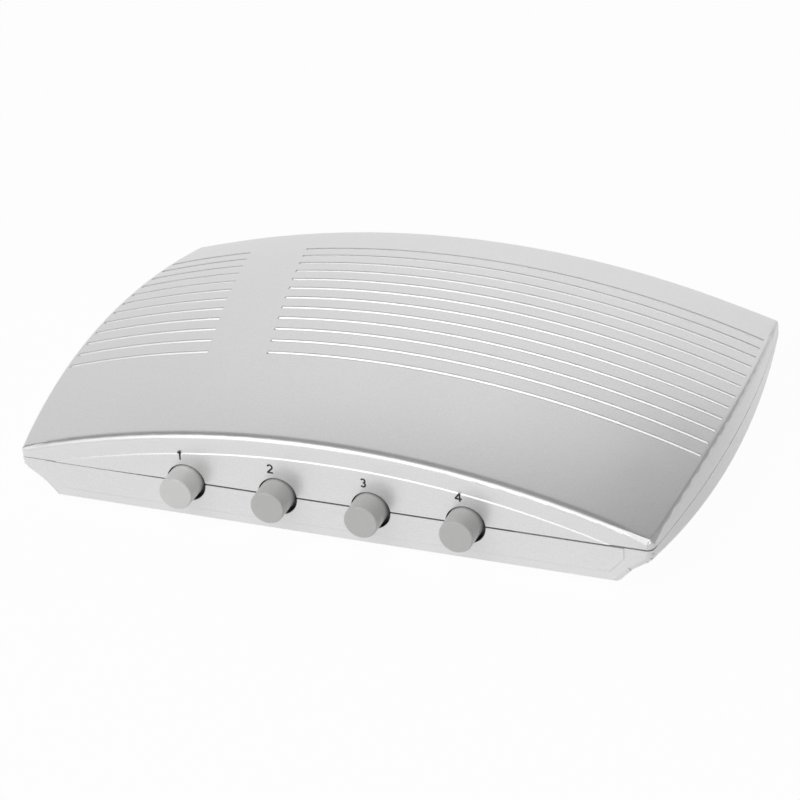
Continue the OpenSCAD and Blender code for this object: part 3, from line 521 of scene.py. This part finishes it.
# The sloped lips: the profile of a cutter, as places behind a groove's middle and below the dome
groove_count = 12
groove_first = 0.0352
groove_pitch = 0.00584
groove_half = 0.0003
groove_end = 0.0016
strip_x = -0.0379
strip_lean = 0.24
strip_half = 0.0086
lip_r = 0.0005
lip_start = 0.0009
lip_past = 0.003
lip_clear = 0.0003
lip_facets = 8
soft_start = math.radians(6.0)
slope = math.radians(52.0)
slope_depth = 0.00066
turn_step = math.radians(0.35)
lip = [(-groove_half / 2, -lip_clear), (lip_start + lip_past, -lip_clear)]
for k in range(lip_facets + 1):
    turn = soft_start + (slope - soft_start) * k / lip_facets
    lip.append((lip_start - lip_r * math.sin(turn), lip_r * (1 - math.cos(turn))))
lip.append((lip[-1][0] - (slope_depth - lip[-1][1]) / math.tan(slope), slope_depth))
lip.append((-groove_half / 2, slope_depth))
cutters = []
for k in range(groove_count):
    groove_y = front_y + groove_first + k * groove_pitch
    groove_tilt = math.asin((groove_y - dome_middle.y) / dome_r)
    groove_r = dome_r * math.cos(groove_tilt)
    side_x = cover_high.x - side_r + math.sqrt(side_r ** 2 - (groove_y - dome_middle.y) ** 2)
    plain_x = strip_x - strip_lean * k * groove_pitch
    spans = [(groove_end - side_x, plain_x - strip_half), (plain_x + strip_half, side_x - groove_end)]
    backward = Vector((0, math.cos(groove_tilt), -math.sin(groove_tilt)))
    inward = Vector((0, -math.sin(groove_tilt), -math.cos(groove_tilt)))
    points = [dome_middle - dome_r * inward + back * backward + deep * inward for back, deep in lip]
    for x_low, x_high in spans:
        from_turn = math.asin(x_low / groove_r)
        to_turn = math.asin(x_high / groove_r)
        steps = math.ceil((to_turn - from_turn) / turn_step)
        cutters.append(turned(points, dome_middle, from_turn, to_turn, steps, filled=True))
cutter = joined(cutters)
pick(cover)
slopes = cover.modifiers.new("groove_slopes", "BOOLEAN")
slopes.operation = "DIFFERENCE"
slopes.solver = "EXACT"
slopes.object = cutter
bpy.ops.object.modifier_apply(modifier="groove_slopes")
bpy.data.objects.remove(cutter)

# Finer facets along the front and rear edges, closest together at the walls
edge_depth = 0.0034
edge_cuts = 16
crowding = 1.6
cad_edge_r = 0.0018
wall_touch = 0.00003
margin = 0.0001
long_spoke = 0.0005
upright_cuts = 7
bpy.ops.object.mode_set(mode="EDIT")
for k in range(1, edge_cuts + 1):
    depth = edge_depth * (k / edge_cuts) ** crowding
    for y in (front_y + depth, rear_y - depth):
        bpy.ops.mesh.select_all(action="SELECT")
        bpy.ops.mesh.bisect(plane_co=(0, y, 0), plane_no=(0, 1, 0))
cad_end = math.sqrt((dome_r - cad_edge_r) ** 2 - (half_depth - cad_edge_r) ** 2)
bpy.ops.mesh.select_all(action="DESELECT")
bpy.ops.mesh.select_mode(type="EDGE")
form = bmesh.from_edit_mesh(cover.data)
for edge in form.edges:
    spokes = [math.hypot(vert.co.x, vert.co.z - dome_middle.z) for vert in edge.verts]
    off_wall = max(min(abs(vert.co.y - front_y), abs(vert.co.y - rear_y)) for vert in edge.verts)
    upright = max(spokes) > cad_end - margin and abs(spokes[0] - spokes[1]) > long_spoke
    edge.select_set(off_wall < wall_touch and upright)
bmesh.update_edit_mesh(cover.data)
bpy.ops.mesh.subdivide(number_cuts=upright_cuts)
bpy.ops.object.mode_set(mode="OBJECT")

# The soft edges: three arcs, each given by its radius and its end, run from the dome to the wall
edge_arcs = [(0.005, math.radians(20.0)), (0.0027, math.radians(50.0)), (0.0019, math.radians(90.0))]
arc_facets = 16
dome_facets = 12
first_facet = 8
wall_run = 0.002
half_turn = math.radians(20.0)
turned_steps = 300
skin = 0.0017
wall_skin = 0.001
fade_end = 0.0835
fade_length = 0.008
reach = half_depth - edge_arcs[-1][0]
for (radius, end), following in zip(edge_arcs, edge_arcs[1:]):
    reach -= (radius - following[0]) * math.sin(end)
tilt = math.asin(reach / (dome_r - edge_arcs[0][0]))
profile = []
for k in range(first_facet, dome_facets + 1):
    turn = tilt * k / dome_facets
    profile.append((-dome_r * math.sin(turn), dome_r * math.cos(turn)))
arc_y = 0.0
arc_z = 0.0
radius = dome_r
for next_radius, end in edge_arcs:
    arc_y -= (radius - next_radius) * math.sin(tilt)
    arc_z += (radius - next_radius) * math.cos(tilt)
    for k in range(1, arc_facets + 1):
        turn = tilt + (end - tilt) * k / arc_facets
        profile.append((arc_y - next_radius * math.sin(turn), arc_z + next_radius * math.cos(turn)))
    radius = next_radius
    tilt = end
profile.append((-half_depth, arc_z - wall_run))
for side, wall_y, group_name in ((1, front_y, "edge_front"), (-1, rear_y, "edge_rear")):
    points = [dome_middle + Vector((0, side * y, z)) for y, z in profile]
    soft_edge = turned(points, dome_middle, -half_turn, half_turn, turned_steps, filled=False)
    edge_group = cover.vertex_groups.new(name=group_name)
    for vert in cover.data.vertices:
        inwards = side * (vert.co.y - wall_y)
        spoke = math.hypot(vert.co.x, vert.co.z - dome_middle.z)
        above = math.hypot(spoke, vert.co.y - dome_middle.y) - dome_r
        outside = above > -skin or inwards < wall_skin
        if outside and -margin < inwards < edge_depth + touch and spoke > arc_z - margin:
            share = min(1.0, (fade_end - abs(vert.co.x)) / fade_length)
            if share > 0:
                edge_group.add([vert.index], share, "REPLACE")
    pick(cover)
    wrap = cover.modifiers.new("soft_edge", "SHRINKWRAP")
    wrap.target = soft_edge
    wrap.vertex_group = edge_group.name
    bpy.ops.object.modifier_apply(modifier="soft_edge")
    bpy.data.objects.remove(soft_edge)
smooth_moulding(cover)
dress(cover, silver_paint)
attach(cover, "housing")
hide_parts("top_cover")


# Numerals: 1 to 4, printed in dark grey on the raised panel above the openings. Each is a thin film of
# ink, drawn as pen strokes of one width that are pressed flat on the panel.
def arc(x, z, r, from_turn, to_turn):
    facets = 12
    turns = [math.radians(from_turn + (to_turn - from_turn) * k / facets) for k in range(facets + 1)]
    return [(x + r * math.cos(turn), z + r * math.sin(turn)) for turn in turns]


ink = surface("ink", colour=(0.022, 0.022, 0.024), metallic=0.0, roughness=0.55,
              grains=5000.0, contrast=0.50, relief_depth=0.000001, spread=0.05)
numeral_h = 0.0025
numeral_rise = 0.00755
numeral_left = 0.0013
stroke_w = 0.00048
ink_film = 0.00003
ink_y = cover_low.y - ink_film / 2
# The strokes of each numeral, as places in numeral heights from its middle
numeral_strokes = [
    [[(0.16, 0.5), (0.16, -0.5)], [(0.16, 0.42), (-0.10, 0.28)]],
    [arc(0.0, 0.22, 0.25, 165, -40) + [(-0.26, -0.43)], [(-0.33, -0.43), (0.32, -0.43)]],
    [arc(-0.02, 0.22, 0.22, 150, -90), arc(-0.02, -0.21, 0.24, 90, -150)],
    [[(0.14, 0.5), (0.14, -0.5)], [(0.14, 0.46), (-0.32, -0.18)], [(-0.38, -0.2), (0.38, -0.2)]],
]
for number, strokes in enumerate(numeral_strokes, 1):
    low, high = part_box("button_cap_%d" % number)
    cap_middle = (low + high) / 2
    middle = Vector((cap_middle.x - numeral_left, ink_y, cap_middle.z + numeral_rise))
    lines = []
    for stroke in strokes:
        trace([middle + numeral_h * Vector((x, 0, z)) for x, z in stroke])
        bpy.ops.object.convert(target="CURVE")
        bpy.context.object.data.bevel_depth = stroke_w / 2
        bpy.context.object.data.use_fill_caps = True
        bpy.ops.object.convert(target="MESH")
        lines.append(bpy.context.object)
    numeral = joined(lines)
    numeral.name = "numeral_%d" % number
    bpy.ops.object.mode_set(mode="EDIT")
    bpy.ops.mesh.select_all(action="SELECT")
    bpy.ops.transform.resize(value=(1, 2 * ink_film / stroke_w, 1), center_override=middle)
    bpy.ops.object.mode_set(mode="OBJECT")
    dress(numeral, ink)
    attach(numeral, "housing")


# Case screws: zinc-plated steel with a low domed head and a cross recess, sunk in the underside and
# driven up into the posts of the cover. Two crossed bars cut the recess into each head.
recess_size = Vector((0.0030, 0.0009, 0.0022))
recess_turns = (math.radians(20.0), math.radians(110.0))
head_r = 0.0028
head_h = 0.0022
head_round = 0.0009
shank_r = 0.00145
facing_down = -0.9
screws_low, screws_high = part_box("case_screws")
shank_low = screws_low.z + head_h
shank_l = screws_high.z - shank_low
turned_parts = []
for x in (screws_low.x + head_r, screws_high.x - head_r):
    for y in (screws_low.y + head_r, screws_high.y - head_r):
        bpy.ops.mesh.primitive_cylinder_add(vertices=48, radius=head_r, depth=head_h,
                                            location=(x, y, screws_low.z + head_h / 2))
        head = bpy.context.object
        turned_parts.append(head)
        bpy.ops.object.mode_set(mode="EDIT")
        bpy.ops.mesh.select_all(action="DESELECT")
        bpy.ops.mesh.select_mode(type="FACE")
        form = bmesh.from_edit_mesh(head.data)
        for face in form.faces:
            face.select_set(face.normal.z < facing_down)
        bmesh.update_edit_mesh(head.data)
        bpy.ops.mesh.bevel(offset=head_round, segments=5, affect="EDGES")
        bpy.ops.object.mode_set(mode="OBJECT")
        for turn in recess_turns:
            bpy.ops.mesh.primitive_cube_add(size=1.0, location=(x, y, screws_low.z), scale=recess_size)
            slot_bar = bpy.context.object
            slot_bar.rotation_euler = (0, 0, turn)
            pick(head)
            recess = head.modifiers.new("recess", "BOOLEAN")
            recess.operation = "DIFFERENCE"
            recess.object = slot_bar
            bpy.ops.object.modifier_apply(modifier="recess")
            bpy.data.objects.remove(slot_bar)
        bpy.ops.mesh.primitive_cylinder_add(vertices=32, radius=shank_r, depth=shank_l,
                                            location=(x, y, shank_low + shank_l / 2))
        turned_parts.append(bpy.context.object)
screw_set = joined(turned_parts)
screw_set.name = "case_screws_turned"
bpy.ops.object.transform_apply(location=True, rotation=True, scale=True)
bpy.ops.object.shade_smooth_by_angle(angle=math.radians(40.0))
dress(screw_set, zinc_steel)
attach(screw_set, "housing")
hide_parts("case_screws")


# Feet: discs of black rubber with a rounded lower edge, stuck into shallow recesses of the underside.
# The rubber is dull and coarse, and slightly worn.
foot_rubber = surface("foot_rubber", colour=(0.028, 0.028, 0.028), metallic=0.0, roughness=0.72,
                      grains=1600.0, contrast=0.40, relief_depth=0.00001, spread=0.12)
for number in range(1, 5):
    dress(nodes["foot_%d" % number], foot_rubber)


# Studio: a floor of white paper, which glows for the camera and in reflections but keeps the shadow of
# the box. In reflections it is dimmer to the right of the box. Round it stands a tent with a bright front
# wall and rear wall, a dark open ridge and dimmer ends. The box does not mirror the lamp at the ridge.
bpy.ops.object.select_all(action="DESELECT")
bpy.ops.mesh.primitive_plane_add(size=6.0, location=(0, 0, 0))
floor = bpy.context.object
floor.name = "studio_floor"
floor_white, tree, links = new_material("floor_white")
tree.remove(tree["Principled BSDF"])
paper = tree.new("ShaderNodeBsdfDiffuse")
paper.inputs["Color"].default_value = (0.85, 0.85, 0.85, 1)
glow = tree.new("ShaderNodeEmission")
path = tree.new("ShaderNodeLightPath")
place = tree.new("ShaderNodeTexCoord")
rightward = vector_node(tree, "DOT_PRODUCT")
rightward.inputs[1].default_value = (1.0, -0.15, 0.0)
falloff = range_node(tree, from_low=0.086, from_high=0.101, to_low=0.88, to_high=0.45)
mirrored = maths_node(tree, "MAXIMUM")
mirror_share = maths_node(tree, "MULTIPLY")
camera_share = maths_node(tree, "MULTIPLY")
camera_share.inputs[1].default_value = 0.96
white_share = maths_node(tree, "MAXIMUM")
blend = tree.new("ShaderNodeMixShader")
links.new(place.outputs["Object"], rightward.inputs[0])
links.new(rightward.outputs["Value"], falloff.inputs["Value"])
links.new(path.outputs["Is Glossy Ray"], mirrored.inputs[0])
links.new(path.outputs["Is Transmission Ray"], mirrored.inputs[1])
links.new(mirrored.outputs[0], mirror_share.inputs[0])
links.new(falloff.outputs["Result"], mirror_share.inputs[1])
links.new(path.outputs["Is Camera Ray"], camera_share.inputs[0])
links.new(mirror_share.outputs[0], white_share.inputs[0])
links.new(camera_share.outputs[0], white_share.inputs[1])
links.new(white_share.outputs[0], blend.inputs["Fac"])
links.new(paper.outputs[0], blend.inputs[1])
links.new(glow.outputs[0], blend.inputs[2])
links.new(blend.outputs[0], tree["Material Output"].inputs["Surface"])
floor.data.materials.append(floor_white)

# The tent's levels of light, from the front horizon at 0 over the ridge to the rear horizon at 1
front_foot = [(0.0, 0.42), (0.035, 0.44)]
front_wall = [(0.09, 0.67), (0.26, 0.67)]
ridge = [(0.34, 0.02), (0.70, 0.02)]
rear_wall = [(0.77, 0.49), (1.0, 0.49)]
walls = front_foot + front_wall + ridge + rear_wall
gap_aim = Vector((0.35, 0.62, 0.70)).normalized()
world = bpy.data.worlds.new("studio")
bpy.context.scene.world = world
world.use_nodes = True
tree = world.node_tree.nodes
links = world.node_tree.links
room = tree["Background"]
room.inputs["Color"].default_value = (1, 1, 1, 1)
outward = tree.new("ShaderNodeTexCoord")
upright_part = vector_node(tree, "MULTIPLY")
upright_part.inputs[1].default_value = (0, 1, 1)
heading = vector_node(tree, "NORMALIZE")
parts = tree.new("ShaderNodeSeparateXYZ")
rearward = range_node(tree, from_low=-1.0, from_high=1.0, to_low=0.0, to_high=1.0)
tent = tree.new("ShaderNodeValToRGB")
tent.color_ramp.interpolation = "EASE"
while len(tent.color_ramp.elements) < len(walls):
    tent.color_ramp.elements.new(0.5)
for stop, (position, level) in zip(tent.color_ramp.elements, walls):
    stop.position = position
    stop.color = (level, level, level, 1)
from_gap = vector_node(tree, "DOT_PRODUCT")
from_gap.inputs[1].default_value = gap_aim
gap = range_node(tree, from_low=0.93, from_high=0.985, to_low=2.0, to_high=0.6)
gap.interpolation_type = "SMOOTHSTEP"
sideways = tree.new("ShaderNodeSeparateXYZ")
left_end = range_node(tree, from_low=-0.75, from_high=-0.30, to_low=0.76, to_high=1.0)
right_end = range_node(tree, from_low=0.24, from_high=0.46, to_low=1.0, to_high=0.35)
ends = maths_node(tree, "MULTIPLY")
dimmed = maths_node(tree, "MULTIPLY")
brightness = maths_node(tree, "MULTIPLY")
backdrop = tree.new("ShaderNodeBackground")
backdrop.inputs["Color"].default_value = (1, 1, 1, 1)
path = tree.new("ShaderNodeLightPath")
blend = tree.new("ShaderNodeMixShader")
links.new(outward.outputs["Generated"], upright_part.inputs[0])
links.new(upright_part.outputs["Vector"], heading.inputs[0])
links.new(heading.outputs["Vector"], parts.inputs[0])
links.new(parts.outputs["Y"], rearward.inputs["Value"])
links.new(rearward.outputs["Result"], tent.inputs["Fac"])
links.new(outward.outputs["Generated"], from_gap.inputs[0])
links.new(from_gap.outputs["Value"], gap.inputs["Value"])
links.new(outward.outputs["Generated"], sideways.inputs[0])
links.new(sideways.outputs["X"], left_end.inputs["Value"])
links.new(sideways.outputs["X"], right_end.inputs["Value"])
links.new(left_end.outputs["Result"], ends.inputs[0])
links.new(right_end.outputs["Result"], ends.inputs[1])
links.new(gap.outputs["Result"], dimmed.inputs[0])
links.new(ends.outputs[0], dimmed.inputs[1])
links.new(dimmed.outputs[0], brightness.inputs[0])
links.new(tent.outputs["Color"], brightness.inputs[1])
links.new(brightness.outputs[0], room.inputs["Strength"])
links.new(path.outputs["Is Camera Ray"], blend.inputs["Fac"])
links.new(room.outputs[0], blend.inputs[1])
links.new(backdrop.outputs[0], blend.inputs[2])
links.new(blend.outputs[0], tree["World Output"].inputs["Surface"])


def soft_lamp(name, place, aim, width, height, power):
    data = bpy.data.lights.new(name, "AREA")
    data.shape = "RECTANGLE"
    data.size = width
    data.size_y = height
    data.energy = power
    lamp = bpy.data.objects.new(name, data)
    bpy.context.scene.collection.objects.link(lamp)
    lamp.location = place
    away = lamp.location - aim
    lamp.rotation_euler = away.to_track_quat("Z", "Y").to_euler()
    return lamp


box_middle = (cad_low + cad_high) / 2
soft_lamp("front_lamp", (-0.30, -0.75, 0.70), box_middle, width=0.8, height=0.5, power=1.65)
ridge_lamp = soft_lamp("ridge_lamp", (0.0, -0.20, 1.0), box_middle, width=0.9, height=0.4, power=1.75)
ridge_lamp.visible_glossy = False


# Camera of the photograph: a long lens, a little to the right of the box and well above it.
# Its place, turn and lens were fitted to the outline of the box in the photograph.
camera_data = bpy.data.cameras.new("camera")
camera_data.sensor_width = 36
camera_data.lens = 152.73
camera = bpy.data.objects.new("camera", camera_data)
bpy.context.scene.collection.objects.link(camera)
camera.location = (0.30143, -0.72132, 0.46213)
camera.rotation_euler = [math.radians(turn) for turn in (59.96, 3.33, 20.82)]
bpy.context.scene.camera = camera
bpy.context.scene.view_settings.view_transform = "Standard"
